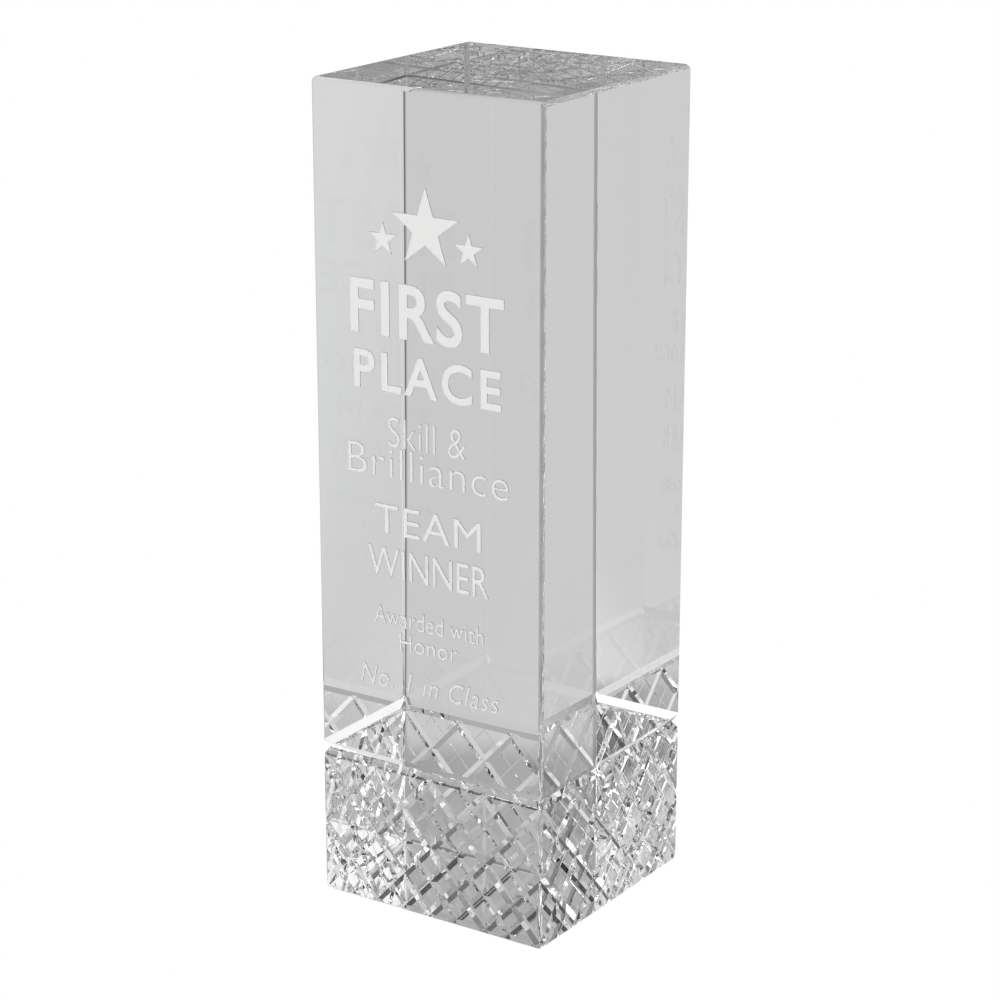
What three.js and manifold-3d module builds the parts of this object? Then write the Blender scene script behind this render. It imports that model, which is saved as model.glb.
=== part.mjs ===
// Crystal presentation award: a square tower of optical crystal, bonded on a diamond-cut base block.
// Millimetres, +Z up. The origin is the centre of the underside, and the engraved face looks along -Y.

import * as THREE from 'three';
import Module from 'manifold-3d';
import { mergeVertices } from 'three/addons/utils/BufferGeometryUtils.js';

const wasm = await Module();
wasm.setup();

// The two blocks
const WIDTH = 60; // side of the square section
const HEIGHT = 190; // underside to top face
const HALF = WIDTH / 2;
const EDGE_CHAMFER = 0.875; // leg of the chamfer on the upright edges and round the top
const FOOT_CHAMFER = 0.5; // leg of the chamfer round the underside
const CORNER_CUT = 0.375; // leg left at the four corners of the top and bottom faces

// The bonded joint, where each block has a bevel, so that the two make a V-shaped belt
const JOINT_Z = 35.25;
const BOND_THICKNESS = 0.125; // film of clear adhesive
const BELT_REACH = 1.75; // height of each bevel
const BELT_DEPTH = 1.125; // depth of the V at the film

// The diamond cutting: V cuts in two directions, the same on all four sides of the base
const CUT_SPACING = 15; // between neighbouring cuts, measured along the side
const CUT_RISE = 16.2; // height that a cut climbs over one spacing
const CUT_HALF_WIDTH = 1.15; // half width of the V at the surface
const FIRST_DEPTH = 0.5; // depth of the cuts that climb to the right
const SECOND_DEPTH = 0.46; // depth of the second pass, across them
const CROSSING_Z = 1; // height of the lowest row of crossings
const CUTTER_LENGTH = 60; // longer than the longest cut
const CUTTER_STANDOUT = 1; // how far the wheel's V reaches outside the surface

// The engraving: pockets in the front face, each nearly filled with frosted white
const POCKET_DEPTH = 0.5;
const FILL_DEPTH = 0.375; // thickness of the fill, from the floor of its pocket
const STAR_INNER = 0.382; // inner radius of a regular five-pointed star, over its outer radius
const STARS = [
  { name: 'star_centre', x: 0, z: 160.125, radius: 9.125 },
  { name: 'star_left', x: -11.125, z: 156.75, radius: 3.875 },
  { name: 'star_right', x: 11.125, z: 156.75, radius: 3.875 },
];
// One panel for each line of the inscription, from the top down: centre height, width and height
const LINES = [
  { z: 141.375, width: 40.25, height: 12.5 },
  { z: 127.25, width: 38.75, height: 9 },
  { z: 114, width: 20.5, height: 6.75 },
  { z: 106.75, width: 42.5, height: 7 },
  { z: 93.75, width: 28.25, height: 6.75 },
  { z: 83.625, width: 32.25, height: 7 },
  { z: 71.125, width: 29.5, height: 4.25 },
  { z: 65.625, width: 15.75, height: 4 },
  { z: 56.25, width: 37.5, height: 4.75 },
];

const crystal = { color: 0xe4e9e8, roughness: 0.02, metalness: 0 };
const cutCrystal = { color: 0xd3dad9, roughness: 0.03, metalness: 0 };
const adhesive = { color: 0xeef1ee, roughness: 0.1, metalness: 0 };
const whiteFill = { color: 0xf4f4f2, roughness: 0.85, metalness: 0 };

// ---- booleans -------------------------------------------------------------------------------

function toSolid(geometry) {
  const bare = geometry.clone();
  bare.deleteAttribute('normal');
  bare.deleteAttribute('uv');
  const merged = mergeVertices(bare);
  return new wasm.Manifold(new wasm.Mesh({
    numProp: 3,
    vertProperties: merged.attributes.position.array,
    triVerts: new Uint32Array(merged.index.array),
  }));
}

function toGeometry(solid) {
  const mesh = solid.getMesh();
  const geometry = new THREE.BufferGeometry();
  geometry.setAttribute('position', new THREE.BufferAttribute(mesh.vertProperties, 3));
  geometry.setIndex(new THREE.BufferAttribute(mesh.triVerts, 1));
  const faceted = geometry.toNonIndexed();
  faceted.computeVertexNormals();
  return faceted;
}

function cutAway(geometry, cutters) {
  const body = cutters.reduce((rest, cutter) => rest.subtract(toSolid(cutter)), toSolid(geometry));
  return toGeometry(body);
}

// ---- blocks ---------------------------------------------------------------------------------

// One level of a block: a square of half width `half` whose corners are cut by `leg`.
function level(z, half, leg) {
  const near = half - leg;
  const outline = [
    [half, -near], [half, near], [near, half], [-near, half],
    [-half, near], [-half, -near], [-near, -half], [near, -half],
  ];
  return outline.map(([x, y]) => [x, y, z]);
}

// A closed block through its levels, lowest first.
function block(levels) {
  const sides = levels[0].length;
  const triangles = [];
  for (let floor = 0; floor < levels.length - 1; floor++) {
    const lower = floor * sides;
    const upper = lower + sides;
    for (let i = 0; i < sides; i++) {
      const next = (i + 1) % sides;
      triangles.push(lower + i, lower + next, upper + next);
      triangles.push(lower + i, upper + next, upper + i);
    }
  }
  const top = (levels.length - 1) * sides;
  for (let i = 1; i < sides - 1; i++) {
    triangles.push(0, i + 1, i);
    triangles.push(top, top + i, top + i + 1);
  }
  const geometry = new THREE.BufferGeometry();
  geometry.setAttribute('position', new THREE.Float32BufferAttribute(levels.flat(2), 3));
  geometry.setIndex(triangles);
  return geometry;
}

const filmBottom = JOINT_Z - BOND_THICKNESS / 2;
const filmTop = JOINT_Z + BOND_THICKNESS / 2;
const beltHalf = HALF - BELT_DEPTH;

function towerBlock() {
  return block([
    level(filmTop, beltHalf, EDGE_CHAMFER),
    level(JOINT_Z + BELT_REACH, HALF, EDGE_CHAMFER),
    level(HEIGHT - EDGE_CHAMFER, HALF, EDGE_CHAMFER),
    level(HEIGHT, HALF - EDGE_CHAMFER, CORNER_CUT),
  ]);
}

function baseBlock() {
  return block([
    level(0, HALF - FOOT_CHAMFER, CORNER_CUT),
    level(FOOT_CHAMFER, HALF, EDGE_CHAMFER),
    level(JOINT_Z - BELT_REACH, HALF, EDGE_CHAMFER),
    level(filmBottom, beltHalf, EDGE_CHAMFER),
  ]);
}

function bondFilm() {
  return block([
    level(filmBottom, beltHalf, EDGE_CHAMFER),
    level(filmTop, beltHalf, EDGE_CHAMFER),
  ]);
}

// ---- diamond cutting ------------------------------------------------------------------------

// The V of a cutting wheel, standing along a line of the front face through (x, CROSSING_Z).
// `lean` is 1 for a cut that climbs to the right, and -1 for one that climbs to the left.
function frontCutter(x, lean, depth) {
  const mouth = CUT_HALF_WIDTH * (1 + CUTTER_STANDOUT / depth);
  const wheel = new THREE.Shape([
    new THREE.Vector2(-mouth, -CUTTER_STANDOUT),
    new THREE.Vector2(mouth, -CUTTER_STANDOUT),
    new THREE.Vector2(0, depth),
  ]);
  const cutter = new THREE.ExtrudeGeometry(wheel, { depth: CUTTER_LENGTH, bevelEnabled: false });
  const along = new THREE.Vector3(lean * CUT_SPACING, 0, CUT_RISE).normalize();
  const inward = new THREE.Vector3(0, 1, 0);
  const across = new THREE.Vector3().crossVectors(inward, along);
  cutter.translate(0, 0, -CUTTER_LENGTH / 4);
  cutter.applyMatrix4(new THREE.Matrix4().makeBasis(across, inward, along));
  cutter.translate(x, -HALF, CROSSING_Z);
  return cutter;
}

// A quarter turn about +Z, without rounding.
const quarterTurn = new THREE.Matrix4().set(
  0, -1, 0, 0,
  1, 0, 0, 0,
  0, 0, 1, 0,
  0, 0, 0, 1,
);

function allCutters() {
  const cutters = [];
  const reach = HALF + 2 * CUT_SPACING;
  for (const [lean, depth] of [[1, FIRST_DEPTH], [-1, SECOND_DEPTH]]) {
    for (let start = -reach; start <= HALF; start += CUT_SPACING) {
      const cutter = frontCutter(lean * start, lean, depth);
      for (let side = 0; side < 4; side++) {
        cutters.push(cutter.clone());
        cutter.applyMatrix4(quarterTurn);
      }
    }
  }
  return cutters;
}

// ---- engraving ------------------------------------------------------------------------------

function starShape({ x, z, radius }) {
  const points = [];
  for (let i = 0; i < 10; i++) {
    const reach = i % 2 === 0 ? radius : radius * STAR_INNER;
    const turn = Math.PI / 2 + (i * Math.PI) / 5;
    points.push(new THREE.Vector2(x + reach * Math.cos(turn), z + reach * Math.sin(turn)));
  }
  return new THREE.Shape(points);
}

function panelShape({ z, width, height }) {
  const [left, right] = [-width / 2, width / 2];
  const [bottom, top] = [z - height / 2, z + height / 2];
  return new THREE.Shape([
    new THREE.Vector2(left, bottom),
    new THREE.Vector2(right, bottom),
    new THREE.Vector2(right, top),
    new THREE.Vector2(left, top),
  ]);
}

// Stands a shape on the front face, from the pocket's floor outwards. Only signs and axes change.
function onFrontFace(shape, depth) {
  const slab = new THREE.ExtrudeGeometry(shape, { depth, bevelEnabled: false });
  slab.applyMatrix4(new THREE.Matrix4().set(
    1, 0, 0, 0,
    0, 0, -1, 0,
    0, 1, 0, 0,
    0, 0, 0, 1,
  ));
  slab.translate(0, POCKET_DEPTH - HALF, 0);
  return slab;
}

const engraved = [
  ...STARS.map((star) => ({ name: star.name, shape: starShape(star) })),
  ...LINES.map((line, i) => ({ name: `inscription_line_${i + 1}`, shape: panelShape(line) })),
];

// ---- the award ------------------------------------------------------------------------------

const award = new THREE.Group();

function addPiece(name, geometry, finish) {
  const piece = new THREE.Mesh(geometry, new THREE.MeshStandardMaterial(finish));
  piece.name = name;
  award.add(piece);
}

const pockets = engraved.map(({ shape }) => onFrontFace(shape, 2 * POCKET_DEPTH));
addPiece('crystal_tower', cutAway(towerBlock(), pockets), crystal);
addPiece('cut_base', cutAway(baseBlock(), allCutters()), cutCrystal);
addPiece('bond_film', bondFilm(), adhesive);
for (const { name, shape } of engraved) {
  addPiece(name, onFrontFace(shape, FILL_DEPTH), whiteFill);
}

export default award;
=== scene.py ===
"""Looks of the crystal award: a clear tower bonded on a diamond-cut base, with a frosted inscription.

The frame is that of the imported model: +Z up, and the engraved face looks along -Y. The pieces are shaped
in millimetres, which suits the booleans, and each is brought to metres once it is finished.
"""
import math

import bmesh
import bpy
from mathutils import Matrix, Vector


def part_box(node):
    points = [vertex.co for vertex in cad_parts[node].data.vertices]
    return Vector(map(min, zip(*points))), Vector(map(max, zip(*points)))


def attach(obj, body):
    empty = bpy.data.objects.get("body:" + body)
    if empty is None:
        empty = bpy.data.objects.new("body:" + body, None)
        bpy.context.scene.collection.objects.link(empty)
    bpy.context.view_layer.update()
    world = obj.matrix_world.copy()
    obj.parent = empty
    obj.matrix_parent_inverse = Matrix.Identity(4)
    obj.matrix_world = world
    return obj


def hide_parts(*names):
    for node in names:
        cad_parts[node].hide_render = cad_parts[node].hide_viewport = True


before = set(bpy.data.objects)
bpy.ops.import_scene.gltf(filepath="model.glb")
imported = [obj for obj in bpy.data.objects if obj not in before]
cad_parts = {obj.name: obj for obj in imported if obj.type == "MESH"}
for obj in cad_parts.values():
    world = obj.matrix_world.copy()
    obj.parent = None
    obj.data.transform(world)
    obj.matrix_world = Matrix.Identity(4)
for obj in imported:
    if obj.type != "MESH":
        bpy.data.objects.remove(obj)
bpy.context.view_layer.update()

MM = 0.001


def node_box(node):
    """Lowest and highest corner of a CAD node, in millimetres."""
    low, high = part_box(node)
    return low / MM, high / MM


# ---- sizes in millimetres ------------------------------------------------------------------

tower_high = node_box("crystal_tower")[1]
film_low, film_high = node_box("bond_film")
HALF = tower_high.x
HEIGHT = tower_high.z
JOINT_HALF = film_high.x  # half width of both blocks at the bonded joint
JOINT_Z = (film_low.z + film_high.z) / 2

# Sizes that a box can't give, the same as in the CAD model
EDGE_CHAMFER = 0.875
FOOT_CHAMFER = 0.5
CORNER_CUT = 0.375
BELT_REACH = 1.75

# The polish rounds each chamfer a little, between the two edges that the CAD model gives it
POLISH_SWEEP = math.radians(15)  # how far the rounded face turns either way from the flat chamfer
POLISH_STEPS = 6

# The diamond cutting
CUT_SPACING = 15
CUT_RISE = 16.2
CROSSING_Z = 1
CUT_HALF_WIDTH = 1.15
CUT_DEPTHS = {1: 0.5, -1: 0.46}  # cuts that climb to the right, then those across them
FINE_HALF_WIDTH = 0.14
FINE_DEPTHS = {1: 0.06, -1: 0.05}  # the fine cuts midway between the deep ones
CUTTER_LENGTH = 60
CUTTER_STANDOUT = 1  # how far the cutters reach outside the surface

# The engraving
star_box = node_box("star_centre")
FILL_FACE = star_box[0].y  # the plane of the fills' front faces
POCKET_FLOOR = star_box[1].y
POCKET_CLEARANCE = 0.5  # how far a pocket's cutter stands out of the front face
FILL_GAP = 0.012  # between a fill and the walls and floor of its pocket
STAR_INNER = 0.382  # inner radius of a regular five-pointed star, over its outer radius
STAR_REACH = math.radians(18)  # how far its two widest points are turned up from the level

# Distances and angles that tell faces apart
NEAR = 1e-3  # a distance that counts as touching
MERGE = 1e-4  # corners that are nearer than this become one
FLAT_ANGLE = math.radians(0.05)  # faces that differ by less are one flat face
ROUNDED_FROM = math.radians(28)  # a face that leans more than this from each axis is a polished edge
SHARP_MARGIN = math.radians(3)  # an edge is sharp if it turns this much more than a step of the polish


# ---- mesh helpers --------------------------------------------------------------------------

def link_object(name, data):
    obj = bpy.data.objects.new(name, data)
    bpy.context.scene.collection.objects.link(obj)
    return obj


def make_object(name, verts, faces):
    mesh = bpy.data.meshes.new(name)
    mesh.from_pydata([tuple(v) for v in verts], [], faces)
    mesh.validate()
    return link_object(name, mesh)


def clean(obj):
    """Merges doubled corners, joins flat neighbours into one face, and turns every face outwards."""
    work = bmesh.new()
    work.from_mesh(obj.data)
    bmesh.ops.remove_doubles(work, verts=work.verts, dist=MERGE)
    bmesh.ops.dissolve_limit(work, angle_limit=FLAT_ANGLE, verts=work.verts, edges=work.edges)
    bmesh.ops.recalc_face_normals(work, faces=work.faces)
    work.to_mesh(obj.data)
    work.free()
    return obj


def shade(obj):
    """Shades the polished edges as round, and every other face as flat."""
    for face in obj.data.polygons:
        second = sorted(abs(part) for part in face.normal)[1]
        face.use_smooth = second > math.sin(ROUNDED_FROM)
    obj.data.set_sharp_from_angle(angle=2 * POLISH_SWEEP / POLISH_STEPS + SHARP_MARGIN)


def to_metres(obj):
    obj.data.transform(Matrix.Scale(MM, 4))
    obj.data.update()
    return obj


def discard(obj):
    mesh = obj.data
    bpy.data.objects.remove(obj)
    if mesh.users == 0:
        bpy.data.meshes.remove(mesh)


def evaluated_mesh(obj):
    bpy.context.view_layer.update()
    graph = bpy.context.evaluated_depsgraph_get()
    return bpy.data.meshes.new_from_object(obj.evaluated_get(graph))


def carve(obj, cutter):
    """Cuts the cutter away from obj, for good."""
    cut = obj.modifiers.new("cut", "BOOLEAN")
    cut.operation = "DIFFERENCE"
    cut.solver = "EXACT"
    cut.object = cutter
    result = evaluated_mesh(obj)
    obj.modifiers.clear()
    old = obj.data
    obj.data = result
    bpy.data.meshes.remove(old)
    discard(cutter)


# ---- blocks --------------------------------------------------------------------------------

def polished_edge(leg):
    """The rounded face of a chamfer, from its first edge to its second, as (inset, inset) pairs."""
    radius = leg / (math.sqrt(2) * math.sin(POLISH_SWEEP))
    middle = leg / 2 + radius * math.cos(POLISH_SWEEP) / math.sqrt(2)
    points = []
    for step in range(POLISH_STEPS + 1):
        turn = math.pi / 4 + POLISH_SWEEP * (2 * step / POLISH_STEPS - 1)
        points.append((middle - radius * math.cos(turn), middle - radius * math.sin(turn)))
    return points


def level(z, half, leg):
    """One level of a block: a square whose four corners are rounded over leg."""
    corner = [Vector((half - across, half - along, z)) for across, along in polished_edge(leg)]
    outline = []
    for quarter in range(4):
        turn = Matrix.Rotation(quarter * math.pi / 2, 3, "Z")
        outline += [turn @ point for point in corner]
    return outline


def block(name, levels):
    """A closed block through its levels, lowest first."""
    sides = len(levels[0])
    faces = [tuple(reversed(range(sides)))]
    for floor in range(len(levels) - 1):
        lower = floor * sides
        upper = lower + sides
        for i in range(sides):
            following = (i + 1) % sides
            faces.append((lower + i, lower + following, upper + following, upper + i))
    top = (len(levels) - 1) * sides
    faces.append(tuple(range(top, top + sides)))
    return make_object(name, [v for ring in levels for v in ring], faces)


def tower_block():
    levels = [
        level(film_high.z, JOINT_HALF, EDGE_CHAMFER),
        level(JOINT_Z + BELT_REACH, HALF, EDGE_CHAMFER),
    ]
    for inset, drop in polished_edge(EDGE_CHAMFER):
        leg = EDGE_CHAMFER + (CORNER_CUT - EDGE_CHAMFER) * inset / EDGE_CHAMFER
        levels.append(level(HEIGHT - drop, HALF - inset, leg))
    return block("tower", levels)


def base_block():
    return block("base", [
        level(0, HALF - FOOT_CHAMFER, CORNER_CUT),
        level(FOOT_CHAMFER, HALF, EDGE_CHAMFER),
        level(JOINT_Z - BELT_REACH, HALF, EDGE_CHAMFER),
        level(film_low.z, JOINT_HALF, EDGE_CHAMFER),
    ])


def bond_block():
    return block("bond", [
        level(film_low.z, JOINT_HALF, EDGE_CHAMFER),
        level(film_high.z, JOINT_HALF, EDGE_CHAMFER),
    ])


# ---- diamond cutting -----------------------------------------------------------------------

def wheel_cuts(starts, lean, half_width, depth, side):
    """Parallel V cutters on one side of the base, as one object."""
    mouth = half_width * (1 + CUTTER_STANDOUT / depth)
    along = Vector((lean * CUT_SPACING, 0, CUT_RISE)).normalized()
    inward = Vector((0, 1, 0))
    across = inward.cross(along)
    section = [
        across * -mouth - inward * CUTTER_STANDOUT,
        across * mouth - inward * CUTTER_STANDOUT,
        inward * depth,
    ]
    turn = Matrix.Rotation(side * math.pi / 2, 4, "Z")
    verts = []
    faces = []
    for start in starts:
        foot = Vector((lean * start, -HALF, CROSSING_Z)) - along * (CUTTER_LENGTH / 4)
        first = len(verts)
        for end in (foot, foot + along * CUTTER_LENGTH):
            verts += [turn @ (end + corner) for corner in section]
        faces.append((first, first + 2, first + 1))
        faces.append((first + 3, first + 4, first + 5))
        for i in range(3):
            following = (i + 1) % 3
            faces.append((first + i, first + following, first + 3 + following, first + 3 + i))
    return clean(make_object("cutters", verts, faces))


def cut_diamonds(obj):
    """Cuts the deep V cuts and the fine ones between them, on all four sides."""
    reach = HALF + 2 * CUT_SPACING
    count = round((HALF + reach) / CUT_SPACING) + 1
    deep = [-reach + i * CUT_SPACING for i in range(count)]
    fine = [start + CUT_SPACING / 2 for start in deep]
    for lean in (1, -1):
        for side in range(4):
            carve(obj, wheel_cuts(fine, lean, FINE_HALF_WIDTH, FINE_DEPTHS[lean], side))
            carve(obj, wheel_cuts(deep, lean, CUT_HALF_WIDTH, CUT_DEPTHS[lean], side))
            clean(obj)  # the next cuts need a mesh without edges of zero length


# ---- engraving -----------------------------------------------------------------------------

# Letters before they are fitted to a line, in font units
LETTER_HALF = 0.5  # half of their thickness
LETTER_CURVE_STEPS = 5
LETTER_MERGE = 1e-5
LETTER_NEAR = 1e-4

STARS = ("star_centre", "star_left", "star_right")

# One entry per line: the words, the weight added to the strokes, the slant and the letter spacing
LINES = {
    "inscription_line_1": ("FIRST", 0.022, 0.0, 1.1),
    "inscription_line_2": ("PLACE", 0.022, 0.0, 1.2),
    "inscription_line_3": ("Skill &", -0.012, 0.0, 1.0),
    "inscription_line_4": ("Brilliance", -0.012, 0.0, 1.04),
    "inscription_line_5": ("TEAM", 0.0, 0.0, 1.05),
    "inscription_line_6": ("WINNER", 0.0, 0.0, 1.0),
    "inscription_line_7": ("Awarded with", 0.0, 0.0, 1.05),
    "inscription_line_8": ("Honor", 0.0, 0.0, 1.05),
    "inscription_line_9": ("No. 1 in Class", 0.0, 0.25, 1.1),
}


def star_outline(node, grow):
    """A regular five-pointed star that fills the node's box, widened by grow."""
    low, high = node_box(node)
    radius = (high.x - low.x) / (2 * math.cos(STAR_REACH))
    centre = Vector(((low.x + high.x) / 2, high.z - radius))
    points = []
    for i in range(10):
        reach = (radius if i % 2 == 0 else radius * STAR_INNER) + grow
        turn = math.pi / 2 + i * math.pi / 5
        points.append(centre + reach * Vector((math.cos(turn), math.sin(turn))))
    return points


def star_solid(name, node, grow, near, far):
    outline = star_outline(node, grow)
    count = len(outline)
    verts = [(p.x, near, p.y) for p in outline] + [(p.x, far, p.y) for p in outline]
    faces = [tuple(range(count)), tuple(reversed(range(count, 2 * count)))]
    for i in range(count):
        following = (i + 1) % count
        faces.append((following, i, count + i, count + following))
    return clean(make_object(name, verts, faces))


def flat_letters(words, weight, slant, spacing):
    """Closed letters one unit thick, in font units, as a mesh."""
    text = bpy.data.curves.new("letters", "FONT")
    text.body = words
    text.offset = weight
    text.shear = slant
    text.space_character = spacing
    text.resolution_u = LETTER_CURVE_STEPS
    text.extrude = LETTER_HALF
    sample = link_object("letters", text)
    mesh = evaluated_mesh(sample)
    bpy.data.objects.remove(sample)
    bpy.data.curves.remove(text)
    weld_letters(mesh)
    return mesh


def weld_letters(mesh):
    """Joins the flat ends of letters to their sides, with no triangle of zero area left in the ends."""
    work = bmesh.new()
    work.from_mesh(mesh)
    bmesh.ops.remove_doubles(work, verts=work.verts, dist=LETTER_MERGE)
    for end in (-LETTER_HALF, LETTER_HALF):
        flat = [f for f in work.faces if all(abs(v.co.z - end) < LETTER_NEAR for v in f.verts)]
        inner = [e for e in work.edges if len(e.link_faces) == 2 and set(e.link_faces) <= set(flat)]
        bmesh.ops.beautify_fill(work, faces=flat, edges=inner, method="ANGLE")
    work.to_mesh(mesh)
    work.free()


def letter_solids(node, near, far):
    """The pocket cutter and the fill of one inscription line, both fitted to the node's box."""
    words, weight, slant, spacing = LINES[node]
    low, high = node_box(node)
    pocket = flat_letters(words, weight, slant, spacing)
    left = min(v.co.x for v in pocket.vertices)
    right = max(v.co.x for v in pocket.vertices)
    bottom = min(v.co.y for v in pocket.vertices)
    top = max(v.co.y for v in pocket.vertices)
    wide = (high.x - low.x) / (right - left)
    tall = (high.z - low.z) / (top - bottom)
    fill = flat_letters(words, weight - FILL_GAP / tall, slant, spacing)
    solids = []
    for name, mesh, front, back in (
        ("pocket_cutter", pocket, near, far),
        (node + "_fill", fill, FILL_FACE, far - FILL_GAP),
    ):
        for v in mesh.vertices:
            x = low.x + (v.co.x - left) * wide
            z = low.z + (v.co.y - bottom) * tall
            y = (front + back) / 2 + v.co.z * (front - back)
            v.co = (x, y, z)
        solids.append(clean(link_object(name, mesh)))
    return solids


def engrave(tower):
    """Cuts the pockets into the tower, and returns the fills by the node that each stands for."""
    outside = -HALF - POCKET_CLEARANCE
    fills = {}
    for node in STARS:
        carve(tower, star_solid("pocket_cutter", node, FILL_GAP, outside, POCKET_FLOOR))
        fills[node] = star_solid(node + "_fill", node, 0, FILL_FACE, POCKET_FLOOR - FILL_GAP)
    for node in LINES:
        cutter, fills[node] = letter_solids(node, outside, POCKET_FLOOR)
        carve(tower, cutter)
    return fills


# ---- materials -----------------------------------------------------------------------------

CRYSTAL_IOR = 1.52
CLEAR = (1.0, 1.0, 1.0)
CORD_TINT = (0.97, 0.985, 0.98)
CORD_WAVES = (60.0, 60.0, 8.0)  # per metre, along x, y and z
FROST_WAVES = (6000.0, 6000.0, 6000.0)
FROST_COLOUR = (0.96, 0.96, 0.96)
FROST_TRANSMISSION = 0.15
FROST_ROUGHNESS = (0.45, 0.7)
FILL_WAVES = (9000.0, 9000.0, 9000.0)
FILL_COLOURS = ((0.86, 0.86, 0.85), (0.98, 0.98, 0.975))
FILL_ROUGHNESS = 0.8
FILL_SPECULAR = 0.2
FILL_BUMP = 0.02 * MM
FILL_BUMP_STRENGTH = 0.5
FILL_TRANSLUCENCY = 0.15


def new_material(name):
    """A material with the default shader: itself, its node tree and the shader."""
    material = bpy.data.materials.new(name)
    material.use_nodes = True
    tree = material.node_tree
    return material, tree, tree.nodes["Principled BSDF"]


def bare_material(name):
    """A material with no shader yet: itself, its node tree and the socket for its surface."""
    material, tree, shader = new_material(name)
    tree.nodes.remove(shader)
    return material, tree, tree.nodes["Material Output"].inputs["Surface"]


def noise(tree, waves, detail=2):
    """Noise over the object, with its waves per metre along x, y and z."""
    place = tree.nodes.new("ShaderNodeTexCoord")
    stretch = tree.nodes.new("ShaderNodeMapping")
    stretch.inputs["Scale"].default_value = waves
    node = tree.nodes.new("ShaderNodeTexNoise")
    node.inputs["Scale"].default_value = 1.0
    node.inputs["Detail"].default_value = detail
    tree.links.new(place.outputs["Object"], stretch.inputs["Vector"])
    tree.links.new(stretch.outputs["Vector"], node.inputs["Vector"])
    return node.outputs["Fac"]


def mixed_colour(tree, factor, first, second):
    """The first colour where the factor is 0, and the second where it is 1."""
    node = tree.nodes.new("ShaderNodeMix")
    node.data_type = "RGBA"
    node.inputs["A"].default_value = (*first, 1)
    node.inputs["B"].default_value = (*second, 1)
    tree.links.new(factor, node.inputs["Factor"])
    return node.outputs["Result"]


def spread(tree, source, low, high):
    """A value from 0 to 1, taken to the range from low to high."""
    node = tree.nodes.new("ShaderNodeMapRange")
    node.inputs["To Min"].default_value = low
    node.inputs["To Max"].default_value = high
    tree.links.new(source, node.inputs["Value"])
    return node.outputs["Result"]


def crystal_material(name):
    """Polished optical crystal, tinted along its height by faint cords, which the melt leaves."""
    material, tree, shader = new_material(name)
    shader.inputs["IOR"].default_value = CRYSTAL_IOR
    shader.inputs["Transmission Weight"].default_value = 1.0
    shader.inputs["Roughness"].default_value = 0.0
    colour = mixed_colour(tree, noise(tree, CORD_WAVES), CLEAR, CORD_TINT)
    tree.links.new(colour, shader.inputs["Base Color"])
    return material


def frosted_material(name):
    """The walls of the pockets, left matt by the engraving."""
    material, tree, shader = new_material(name)
    shader.inputs["Base Color"].default_value = (*FROST_COLOUR, 1)
    shader.inputs["IOR"].default_value = CRYSTAL_IOR
    shader.inputs["Transmission Weight"].default_value = FROST_TRANSMISSION
    grain = spread(tree, noise(tree, FROST_WAVES), *FROST_ROUGHNESS)
    tree.links.new(grain, shader.inputs["Roughness"])
    return material


def fill_material(name):
    """Matt white with a fine grain. Some of the light on either side comes through it."""
    material, tree, shader = new_material(name)
    grain = noise(tree, FILL_WAVES, detail=3)
    colour = mixed_colour(tree, grain, *FILL_COLOURS)
    tree.links.new(colour, shader.inputs["Base Color"])
    shader.inputs["Roughness"].default_value = FILL_ROUGHNESS
    shader.inputs["Specular IOR Level"].default_value = FILL_SPECULAR
    bump = tree.nodes.new("ShaderNodeBump")
    bump.inputs["Distance"].default_value = FILL_BUMP
    bump.inputs["Strength"].default_value = FILL_BUMP_STRENGTH
    tree.links.new(grain, bump.inputs["Height"])
    tree.links.new(bump.outputs["Normal"], shader.inputs["Normal"])
    through = tree.nodes.new("ShaderNodeBsdfTranslucent")
    tree.links.new(colour, through.inputs["Color"])
    mix = tree.nodes.new("ShaderNodeMixShader")
    mix.inputs["Fac"].default_value = FILL_TRANSLUCENCY
    tree.links.new(shader.outputs["BSDF"], mix.inputs[1])
    tree.links.new(through.outputs["BSDF"], mix.inputs[2])
    tree.links.new(mix.outputs["Shader"], tree.nodes["Material Output"].inputs["Surface"])
    return material


def bonded_material(name):
    """A glass face that is wetted by the adhesive: light passes it as if it weren't there."""
    material, tree, surface = bare_material(name)
    clear = tree.nodes.new("ShaderNodeBsdfTransparent")
    tree.links.new(clear.outputs["BSDF"], surface)
    return material


# ---- stage ---------------------------------------------------------------------------------

# The studio as the crystal sees it: the brightness of its panels by azimuth, in degrees clockwise
# from +Y, which is behind the award. It fades from one panel to the next. The camera itself sees
# white wherever it looks past the award.
#
# These tables aren't an example to follow. A scratch program fitted them to the grey levels of the
# photo by least squares, and they were then rounded and changed by hand. Plain panels that are
# chosen by hand should take their place.

# The floor, and the backdrop that it sweeps up into
FLOOR = {
    -180: 0.8, -160: 0.8, -153: 0.6, -138: 0.6, -125: 0.78, -112: 0.9, -96: 0.5, -80: 0.34,
    -66: 0.28, -52: 0.4, -43: 0.58, -22: 0.6, -17: 0.5, -13: 0.1, -9: 0.1, -6: 0.68,
    14: 0.66, 27: 0.62, 31: 0.64, 35: 0.69, 41: 0.69, 52: 0.84, 82: 0.78, 98: 0.7,
    128: 0.62, 158: 0.6, 166: 0.8, 180: 0.8,
}

# Painted shade on the floor close to the award, and a painted shadow under it: the floor's glow there is
# dimmer than farther off
NEARBY_FLOOR_SHADE = {
    -180: 0.5, -135: 0.45, -105: 0.03, -75: 0.02, -45: 0.33, -10: 0.4, 12: 0.6, 45: 0.35,
    75: 0.02, 105: 0.01, 135: 0.1, 165: 0.36, 180: 0.5,
}
FOOTPRINT_SHADE = 0.42

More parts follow.
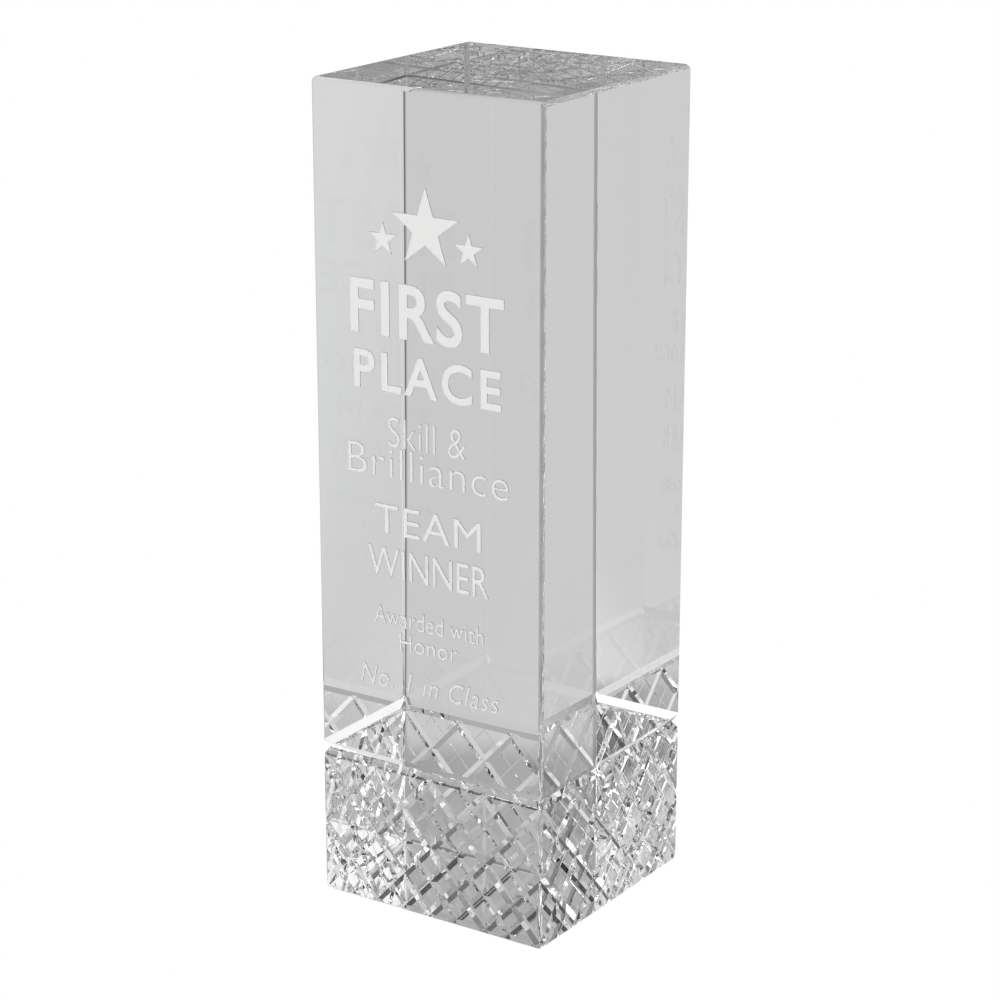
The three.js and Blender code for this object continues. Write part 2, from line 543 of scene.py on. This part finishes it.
# The rings of panels round the studio, from the lowest up
HORIZON = {
    -180: 3.2, -165: 2.6, -148: 0.75, -110: 1.0, -80: 0.7, -55: 0.4, -35: 0.2, -20: 0.22,
    0: 0.4, 22: 0.8, 38: 0.85, 52: 0.45, 68: 0.05, 80: 0.1, 112: 0.85, 128: 1.0,
    142: 0.8, 160: 2.6, 180: 3.2,
}
SOFTBOX = {
    -180: 3.1, -158: 0.9, -142: 0.4, -128: 0.45, -105: 1.0, -82: 0.6, -52: 0.25, -38: 0.4,
    -8: 0.45, 8: 1.0, 38: 0.95, 60: 0.6, 98: 0.2, 112: 0.4, 135: 0.9, 158: 1.7,
    172: 2.9, 180: 3.1,
}
UPPER_WALL = {
    -180: 2.1, -150: 1.4, -120: 0.3, -75: 0.05, -45: 0.02, -15: 0.08, 45: 0.08, 75: 0.02,
    105: 0.08, 135: 0.6, 165: 1.8, 180: 2.1,
}
CEILING = {-180: 0.05}
RINGS = ((3, HORIZON), (13, SOFTBOX), (35, UPPER_WALL), (60, CEILING))  # each from its elevation up
RING_FADE = 0.05  # between two rings, in the sine of the elevation

FLOOR_HALF = 3.0  # half width of the floor, in metres
FLOOR_DROP = 0.02  # millimetres, so that the floor and the underside don't lie in one plane

# Where the painted shadow under the award and the painted shade close to it end, in millimetres from the
# middle of the award
FOOTPRINT_RADIUS = 45
FOOTPRINT_FADE = 10
NEARBY_RADIUS = 100
NEARBY_FADE = 20

# The camera, with its distance and its aim in heights of the award: a least-squares fit to seven
# corners of the award that were measured in the photo
CAMERA_AZIMUTH = math.radians(33.7)
CAMERA_ELEVATION = math.radians(17.5)
CAMERA_DISTANCE = 3.517
AIM_HEIGHT = 0.4851
AIM_LEFT = 0.0038
LENS = 106
SENSOR_WIDTH = 36

GLASS_BOUNCES = 40
CLEAR_BOUNCES = 24


def connect(tree, socket, value):
    """Feeds a socket from another socket, or with a plain number."""
    if isinstance(value, (int, float)):
        socket.default_value = value
    else:
        tree.links.new(value, socket)


def number(tree, operation, *values):
    """A Math node on these values, which are sockets or plain numbers."""
    node = tree.nodes.new("ShaderNodeMath")
    node.operation = operation
    for socket, value in zip(node.inputs, values):
        connect(tree, socket, value)
    return node.outputs["Value"]


def separated(tree, vector):
    """The x, y and z sockets of a vector."""
    parts = tree.nodes.new("ShaderNodeSeparateXYZ")
    tree.links.new(vector, parts.inputs["Vector"])
    return tuple(parts.outputs)


def panels(tree, x, y, stops):
    """The brightness of a ring of panels at the azimuth of a place, or of a direction."""
    azimuth = number(tree, "ARCTAN2", x, y)
    turn = number(tree, "MULTIPLY_ADD", azimuth, 1 / math.tau, 0.5)
    ramp = tree.nodes.new("ShaderNodeValToRGB")
    tree.links.new(turn, ramp.inputs["Fac"])
    marks = ramp.color_ramp.elements
    marks.remove(marks[1])
    marks[0].position = 0
    for degrees, brightness in stops.items():
        mark = marks[0] if degrees == -180 else marks.new(degrees / 360 + 0.5)
        mark.color = (brightness, brightness, brightness, 1)
    return ramp.outputs["Color"]


def beyond(tree, source, edge, fade):
    """0 below the edge and 1 above it, with a soft step between."""
    node = tree.nodes.new("ShaderNodeMapRange")
    node.interpolation_type = "SMOOTHSTEP"
    node.inputs["From Min"].default_value = edge - fade / 2
    node.inputs["From Max"].default_value = edge + fade / 2
    tree.links.new(source, node.inputs["Value"])
    return node.outputs["Result"]


def blend(tree, factor, first, second):
    """The first brightness where the factor is 0, and the second where it is 1."""
    node = tree.nodes.new("ShaderNodeMix")
    tree.links.new(factor, node.inputs["Factor"])
    connect(tree, node.inputs["A"], first)
    connect(tree, node.inputs["B"], second)
    return node.outputs["Result"]


def white_for_camera(tree, brightness):
    """White where the camera looks straight at it, and the given brightness for all other light."""
    path = tree.nodes.new("ShaderNodeLightPath")
    return blend(tree, path.outputs["Is Camera Ray"], brightness, 1.0)


# The floor glows instead of being lit. Its glow by azimuth stands in for the studio's light on it, and it
# is dimmer close to the award and under it: painted shade and a painted shadow
def floor_material(name):
    material, tree, surface = bare_material(name)
    place = tree.nodes.new("ShaderNodeNewGeometry")
    x, y, _ = separated(tree, place.outputs["Position"])
    squares = number(tree, "MULTIPLY_ADD", x, x, number(tree, "MULTIPLY", y, y))
    radius = number(tree, "SQRT", squares)
    off_footprint = beyond(tree, radius, FOOTPRINT_RADIUS * MM, FOOTPRINT_FADE * MM)
    # Painted shadow under the award, fading into painted shade close by
    nearby_shade = blend(tree, off_footprint, FOOTPRINT_SHADE, panels(tree, x, y, NEARBY_FLOOR_SHADE))
    far_off = beyond(tree, radius, NEARBY_RADIUS * MM, NEARBY_FADE * MM)
    brightness = blend(tree, far_off, nearby_shade, panels(tree, x, y, FLOOR))
    glow = tree.nodes.new("ShaderNodeEmission")
    tree.links.new(white_for_camera(tree, brightness), glow.inputs["Strength"])
    tree.links.new(glow.outputs["Emission"], surface)
    return material


def make_floor():
    corners = [(-1, -1), (1, -1), (1, 1), (-1, 1)]
    verts = [(x * FLOOR_HALF, y * FLOOR_HALF, 0) for x, y in corners]
    floor = make_object("floor", verts, [(0, 1, 2, 3)])
    floor.location.z = -FLOOR_DROP * MM
    floor.data.materials.append(floor_material("pale_floor"))


def make_world():
    world = bpy.data.worlds.new("studio")
    bpy.context.scene.world = world
    world.use_nodes = True
    tree = world.node_tree
    background = tree.nodes["Background"]
    background.inputs["Color"].default_value = (1, 1, 1, 1)
    direction = tree.nodes.new("ShaderNodeTexCoord")
    x, y, rise = separated(tree, direction.outputs["Generated"])
    brightness = panels(tree, x, y, FLOOR)
    for elevation, stops in RINGS:
        inside = beyond(tree, rise, math.sin(math.radians(elevation)), RING_FADE)
        brightness = blend(tree, inside, brightness, panels(tree, x, y, stops))
    tree.links.new(white_for_camera(tree, brightness), background.inputs["Strength"])


def make_camera():
    height = HEIGHT * MM
    right = Vector((math.cos(CAMERA_AZIMUTH), math.sin(CAMERA_AZIMUTH), 0))
    aim = Vector((0, 0, AIM_HEIGHT * height)) - right * (AIM_LEFT * height)
    back = Vector((
        math.sin(CAMERA_AZIMUTH) * math.cos(CAMERA_ELEVATION),
        -math.cos(CAMERA_AZIMUTH) * math.cos(CAMERA_ELEVATION),
        math.sin(CAMERA_ELEVATION),
    ))
    data = bpy.data.cameras.new("camera")
    data.lens = LENS
    data.sensor_width = SENSOR_WIDTH
    data.clip_start = 0.01
    camera = link_object("camera", data)
    camera.location = aim + back * (CAMERA_DISTANCE * height)
    camera.rotation_euler = (-back).to_track_quat("-Z", "Y").to_euler()
    bpy.context.scene.camera = camera


def set_light_paths():
    """Plain colours, and enough bounces for light to find its way out of the cut base."""
    scene = bpy.context.scene
    scene.view_settings.view_transform = "Standard"
    scene.cycles.max_bounces = GLASS_BOUNCES
    scene.cycles.transmission_bounces = GLASS_BOUNCES
    scene.cycles.glossy_bounces = GLASS_BOUNCES
    scene.cycles.transparent_max_bounces = CLEAR_BOUNCES


# ---- the award -----------------------------------------------------------------------------

# Material slots of the two blocks, after the polished crystal
BONDED = 1
FROSTED = 2

clear_crystal = crystal_material("clear_crystal")
bonded = bonded_material("bonded_face")
frosted = frosted_material("frosted_crystal")
white_fill = fill_material("white_fill")


def dress(obj, *materials):
    """Gives the mesh these materials, with the first of them on every face."""
    obj.data.materials.clear()
    for material in materials:
        obj.data.materials.append(material)
    for face in obj.data.polygons:
        face.material_index = 0


def hand_over(obj, node):
    """Makes obj the visible piece that stands for a CAD node."""
    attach(to_metres(obj), "root")
    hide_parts(node)


def is_pocket_wall(face):
    """Whether a face of the tower runs inwards from the front face, clear of the outer edges."""
    runs_inwards = abs(face.normal.y) < 0.5
    off_edges = abs(face.center.x) < HALF - 2 * EDGE_CHAMFER
    return runs_inwards and off_edges and -HALF + NEAR < face.center.y < POCKET_FLOOR


def make_tower():
    """The engraved tower, with the fills in its pockets."""
    tower = tower_block()
    fills = engrave(tower)
    clean(tower)
    shade(tower)
    dress(tower, clear_crystal, bonded, frosted)
    for face in tower.data.polygons:
        if face.center.z < film_high.z + NEAR:
            face.material_index = BONDED
        elif is_pocket_wall(face):
            face.material_index = FROSTED
    for node, fill in fills.items():
        dress(fill, white_fill)
        hand_over(fill, node)
    hand_over(tower, "crystal_tower")


def make_base():
    base = base_block()
    cut_diamonds(base)
    shade(base)
    dress(base, clear_crystal, bonded)
    for face in base.data.polygons:
        if face.center.z > film_low.z - NEAR:
            face.material_index = BONDED
    hand_over(base, "cut_base")


def make_bond():
    bond = bond_block()
    dress(bond, bonded)
    hand_over(bond, "bond_film")


make_tower()
make_base()
make_bond()
make_floor()
make_world()
make_camera()
set_light_paths()
